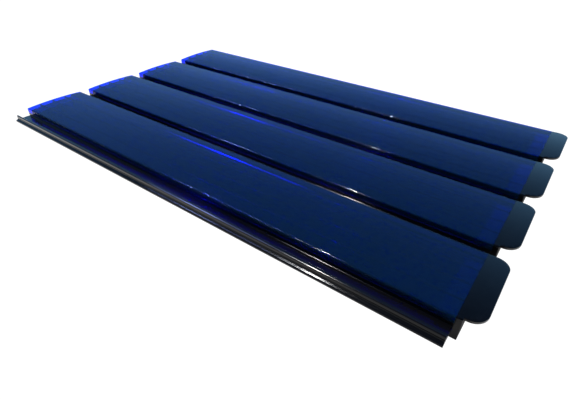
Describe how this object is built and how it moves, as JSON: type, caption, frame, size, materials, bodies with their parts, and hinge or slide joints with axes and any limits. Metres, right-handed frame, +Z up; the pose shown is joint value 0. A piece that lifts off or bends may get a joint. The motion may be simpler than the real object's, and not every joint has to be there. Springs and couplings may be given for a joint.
{
  "type": "solar pool cover slat mat",
  "caption": "Roll-up mat of hollow solar pool-cover slats: black bodies with clear blue tops, winged end caps, each slat hinged on the next by a hook in a round groove.",
  "frame": {"origin": "middle of the mat's footprint, on the undersides of the slats", "axes": "+X along the slats towards the end caps, +Y from the exposed hook rail towards the exposed groove, +Z up through the blue tops"},
  "size_m": [0.423, 0.2614, 0.0166],
  "materials": {
    "black_body": "glossy black extruded plastic",
    "blue_skin": "glossy clear deep-blue plastic",
    "end_cap": "smooth moulded dark grey plastic",
    "plug": "matt black sealing plug"
  },
  "bodies": {
    "slat_1": {"slat_1_body": "black_body", "slat_1_window": "blue_skin", "slat_1_end_cap": "end_cap", "slat_1_plug_1": "plug", "slat_1_plug_2": "plug", "slat_1_plug_3": "plug", "slat_1_plug_4": "plug"},
    "slat_2": {"slat_2_body": "black_body", "slat_2_window": "blue_skin", "slat_2_end_cap": "end_cap", "slat_2_plug_1": "plug", "slat_2_plug_2": "plug", "slat_2_plug_3": "plug", "slat_2_plug_4": "plug"},
    "slat_3": {"slat_3_body": "black_body", "slat_3_window": "blue_skin", "slat_3_end_cap": "end_cap", "slat_3_plug_1": "plug", "slat_3_plug_2": "plug", "slat_3_plug_3": "plug", "slat_3_plug_4": "plug"},
    "slat_4": {"slat_4_body": "black_body", "slat_4_window": "blue_skin", "slat_4_end_cap": "end_cap", "slat_4_plug_1": "plug", "slat_4_plug_2": "plug", "slat_4_plug_3": "plug", "slat_4_plug_4": "plug"}
  },
  "joints": [
    {"name": "hinge_1_2", "type": "hinge", "parent": "slat_1", "child": "slat_2", "pos_m": [0, -0.0647, 0.00895], "axis": [1, 0, 0], "range_deg": [-52, 14]},
    {"name": "hinge_2_3", "type": "hinge", "parent": "slat_2", "child": "slat_3", "pos_m": [0, -0.0012, 0.00895], "axis": [1, 0, 0], "range_deg": [-52, 14]},
    {"name": "hinge_3_4", "type": "hinge", "parent": "slat_3", "child": "slat_4", "pos_m": [0, 0.0623, 0.00895], "axis": [1, 0, 0], "range_deg": [-52, 14]}
  ]
}
